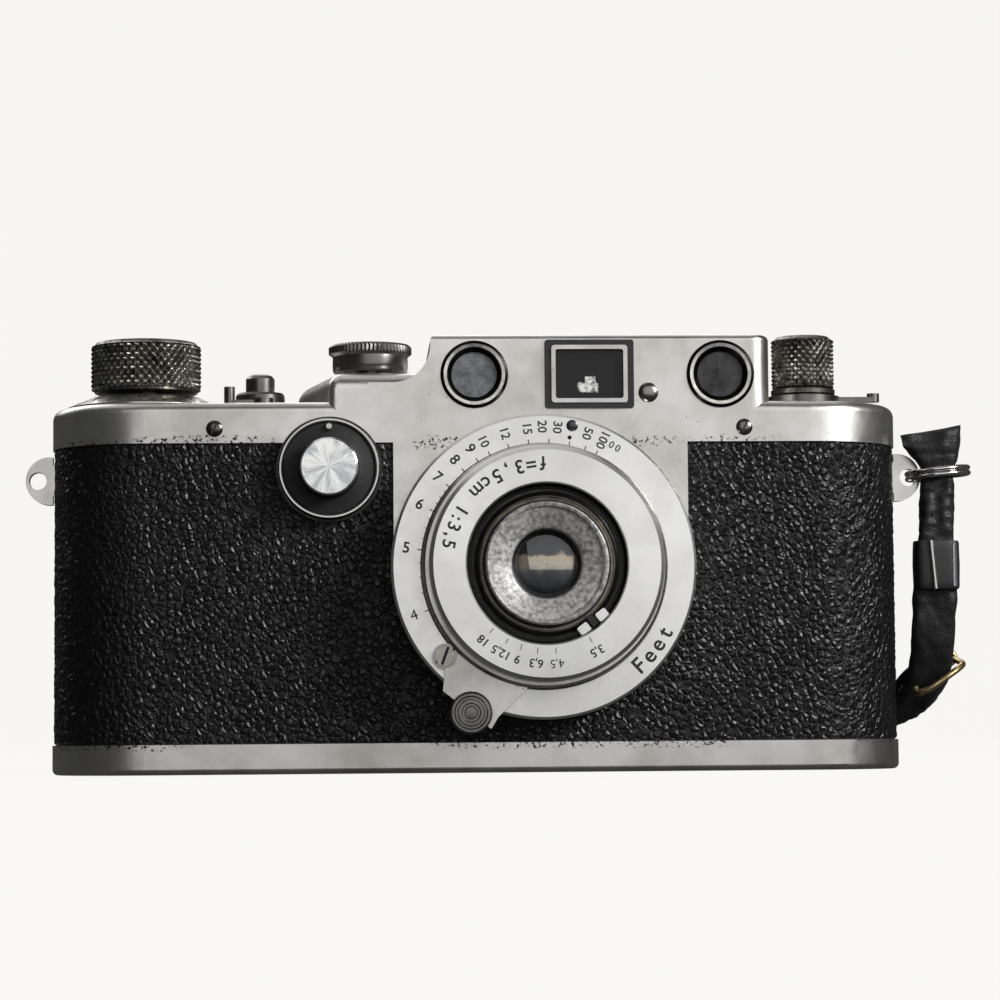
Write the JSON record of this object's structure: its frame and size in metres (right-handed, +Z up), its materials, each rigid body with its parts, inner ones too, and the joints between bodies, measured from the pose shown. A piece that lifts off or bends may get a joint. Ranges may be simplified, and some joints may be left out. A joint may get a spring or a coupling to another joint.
{
  "type": "rangefinder camera",
  "caption": "Compact film camera: round-ended body with grained covering, top cover with windows and knobs, wide lens with a focusing tab, and a short leather hand strap",
  "frame": {"origin": "under the middle of the camera's box, strap apart, on the surface it stands on", "axes": "+Z up, -Y the way the lens looks, +X to the right as seen from the front"},
  "size_m": [0.1532, 0.0842, 0.0707],
  "materials": {
    "satin_chrome": "satin, worn",
    "bright_chrome": "polished",
    "black_metal": "satin",
    "steel": "satin",
    "grained_covering": "pebbled grain",
    "cast_alloy": "as cast, blackened",
    "brass": "machined",
    "optical_glass": "polished",
    "curtain_cloth": "rubberised cloth",
    "strap_leather": "smooth, worn"
  },
  "bodies": {
    "body": {"body_shell": "cast_alloy", "body_covering": "grained_covering", "top_cover": "satin_chrome", "shutter_crate": "cast_alloy", "film_gate": "steel", "pressure_plate": "steel", "shutter_curtains": "curtain_cloth", "lens_flange": "bright_chrome", "flange_screws": "steel", "cover_screws": "steel", "adjuster_cap": "steel", "finder_frame": "black_metal", "finder_bezel": "bright_chrome", "finder_glass": "optical_glass", "finder_eyepiece": "black_metal", "rangefinder_bezels": "bright_chrome", "rangefinder_glass": "optical_glass", "accessory_shoe": "satin_chrome", "strap_lugs": "bright_chrome", "release_collar": "satin_chrome", "release_spring": "steel", "slow_dial_seat": "black_metal", "scale_ring": "bright_chrome", "strap_ring": "bright_chrome", "hand_strap": "strap_leather", "strap_keeper": "steel", "strap_hook": "brass"},
    "base": {"base_plate": "satin_chrome", "tripod_bush": "brass"},
    "base_lock": {"base_key": "satin_chrome"},
    "advance": {"advance_knob": "bright_chrome", "advance_gear": "steel"},
    "counter": {"counter_disc": "satin_chrome"},
    "take_up": {"take_up_spool": "cast_alloy"},
    "sprocket": {"sprocket_drum": "steel"},
    "release": {"release_button": "bright_chrome"},
    "rewind_selector": {"rewind_lever": "satin_chrome"},
    "drum": {"shutter_drum": "cast_alloy"},
    "roller": {"curtain_roller": "cast_alloy"},
    "speed_pin": {"speed_post": "bright_chrome"},
    "speed": {"speed_dial": "bright_chrome"},
    "rewind_fork": {"rewind_shaft": "satin_chrome"},
    "rewind_head": {"rewind_knob": "bright_chrome"},
    "diopter": {"diopter_lever": "satin_chrome"},
    "diopter_tube": {"rangefinder_eyepiece": "black_metal"},
    "slow_speeds": {"slow_speed_dial": "bright_chrome"},
    "carrier": {"focus_carrier": "brass"},
    "lens": {"focus_ring": "satin_chrome", "stop_screw": "steel", "lens_barrel": "bright_chrome", "front_element": "optical_glass", "rear_element": "optical_glass"},
    "infinity_lock": {"infinity_button": "bright_chrome"},
    "aperture": {"aperture_ring": "black_metal"},
    "follower": {"rangefinder_arm": "cast_alloy"},
    "iris_1": {"iris_blade_1": "steel"},
    "iris_2": {"iris_blade_2": "steel"},
    "iris_3": {"iris_blade_3": "steel"},
    "iris_4": {"iris_blade_4": "steel"},
    "iris_5": {"iris_blade_5": "steel"}
  },
  "joints": [
    {"name": "base_plate_off", "type": "slide", "parent": "body", "child": "base", "axis": [0, 0, -1], "range_m": [0, 0.03]},
    {"name": "base_key_turn", "type": "hinge", "parent": "base", "child": "base_lock", "pos_m": [0.0535, 0.0074, 0], "axis": [0, 0, 1], "range_deg": [0, 180]},
    {"name": "advance_turn", "type": "hinge", "parent": "body", "child": "advance", "pos_m": [-0.05313, 0.0074, 0.06], "axis": [0, 0, 1], "continuous": true},
    {"name": "counter_turn", "type": "hinge", "parent": "body", "child": "counter", "pos_m": [-0.05313, 0.0074, 0.06], "axis": [0, 0, 1], "continuous": true},
    {"name": "take_up_turn", "type": "hinge", "parent": "body", "child": "take_up", "pos_m": [-0.05313, 0.0074, 0.03], "axis": [0, 0, 1], "continuous": true},
    {"name": "sprocket_turn", "type": "hinge", "parent": "body", "child": "sprocket", "pos_m": [-0.0367, 0.013, 0.03], "axis": [0, 0, 1], "continuous": true},
    {"name": "release_press", "type": "slide", "parent": "body", "child": "release", "axis": [0, 0, -1], "range_m": [0, 0.0023], "stiffness_N_per_m": 600, "springref_m": -0.0005, "deforming": ["release_spring"]},
    {"name": "rewind_lever_swing", "type": "hinge", "parent": "body", "child": "rewind_selector", "pos_m": [-0.034, -0.0036, 0.0585], "axis": [0, 0, 1], "range_deg": [0, 40]},
    {"name": "drum_turn", "type": "hinge", "parent": "body", "child": "drum", "pos_m": [-0.017, 0.0024, 0.03], "axis": [0, 0, 1], "range_deg": [-300, 0]},
    {"name": "roller_turn", "type": "hinge", "parent": "body", "child": "roller", "pos_m": [0.0325, 0.0094, 0.03], "axis": [0, 0, 1], "range_deg": [0, 540]},
    {"name": "speed_dial_lift", "type": "slide", "parent": "drum", "child": "speed_pin", "axis": [0, 0, 1], "range_m": [0, 0.0015], "stiffness_N_per_m": 300, "springref_m": -0.001},
    {"name": "speed_dial_turn", "type": "hinge", "parent": "speed_pin", "child": "speed", "pos_m": [-0.017, 0.0024, 0.066], "axis": [0, 0, 1], "range_deg": [-150, 150]},
    {"name": "rewind_turn", "type": "hinge", "parent": "body", "child": "rewind_fork", "pos_m": [0.0535, 0.0074, 0.06], "axis": [0, 0, 1], "continuous": true},
    {"name": "rewind_knob_lift", "type": "slide", "parent": "rewind_fork", "child": "rewind_head", "axis": [0, 0, 1], "range_m": [0, 0.005]},
    {"name": "diopter_swing", "type": "hinge", "parent": "body", "child": "diopter", "pos_m": [0.0535, 0.0074, 0.059], "axis": [0, 0, 1], "range_deg": [0, 60]},
    {"name": "diopter_focus", "type": "slide", "parent": "body", "child": "diopter_tube", "axis": [0, 1, 0], "range_m": [0, 0.0006]},
    {"name": "slow_speeds_turn", "type": "hinge", "parent": "body", "child": "slow_speeds", "pos_m": [-0.02357, -0.0081, 0.04758], "axis": [0, -1, 0], "range_deg": [0, 200]},
    {"name": "focus_travel", "type": "slide", "parent": "body", "child": "carrier", "axis": [0, -1, 0], "range_m": [0, 0.0013]},
    {"name": "focus_turn", "type": "hinge", "parent": "carrier", "child": "lens", "pos_m": [0.00967, -0.0081, 0.0319], "axis": [0, -1, 0], "range_deg": [0, 172]},
    {"name": "follower_swing", "type": "hinge", "parent": "body", "child": "follower", "pos_m": [-0.0025, 0.0014, 0.05], "axis": [0, 0, -1], "range_deg": [0, 6.2]},
    {"name": "infinity_press", "type": "slide", "parent": "lens", "child": "infinity_lock", "axis": [0, 1, 0], "range_m": [0, 0.001], "stiffness_N_per_m": 400, "springref_m": -0.0005},
    {"name": "aperture_turn", "type": "hinge", "parent": "lens", "child": "aperture", "pos_m": [0.00967, -0.0081, 0.0319], "axis": [0, 1, 0], "range_deg": [0, 68]},
    {"name": "iris_1_turn", "type": "hinge", "parent": "lens", "child": "iris_1", "pos_m": [0.01705, -0.0081, 0.03458], "axis": [0, -1, 0], "range_deg": [0, 29]},
    {"name": "iris_2_turn", "type": "hinge", "parent": "lens", "child": "iris_2", "pos_m": [0.0094, -0.0081, 0.03975], "axis": [0, -1, 0], "range_deg": [0, 29]},
    {"name": "iris_3_turn", "type": "hinge", "parent": "lens", "child": "iris_3", "pos_m": [0.00212, -0.0081, 0.03406], "axis": [0, -1, 0], "range_deg": [0, 29]},
    {"name": "iris_4_turn", "type": "hinge", "parent": "lens", "child": "iris_4", "pos_m": [0.00528, -0.0081, 0.02539], "axis": [0, -1, 0], "range_deg": [0, 29]},
    {"name": "iris_5_turn", "type": "hinge", "parent": "lens", "child": "iris_5", "pos_m": [0.0145, -0.0081, 0.02571], "axis": [0, -1, 0], "range_deg": [0, 29]}
  ],
  "couplings": [
    {"joint": "counter_turn", "follows": "advance_turn", "ratio": 0.025},
    {"joint": "take_up_turn", "follows": "advance_turn", "ratio": 1},
    {"joint": "sprocket_turn", "follows": "advance_turn", "ratio": -1.3333},
    {"joint": "roller_turn", "follows": "drum_turn", "ratio": -1.75},
    {"joint": "diopter_swing", "follows": "diopter_focus", "rad_per_m": 1745.3},
    {"joint": "focus_travel", "follows": "focus_turn", "m_per_rad": 0.0004231},
    {"joint": "follower_swing", "follows": "focus_turn", "ratio": 0.03488},
    {"joint": "iris_1_turn", "follows": "aperture_turn", "ratio": 0.41},
    {"joint": "iris_2_turn", "follows": "aperture_turn", "ratio": 0.41},
    {"joint": "iris_3_turn", "follows": "aperture_turn", "ratio": 0.41},
    {"joint": "iris_4_turn", "follows": "aperture_turn", "ratio": 0.41},
    {"joint": "iris_5_turn", "follows": "aperture_turn", "ratio": 0.41}
  ]
}
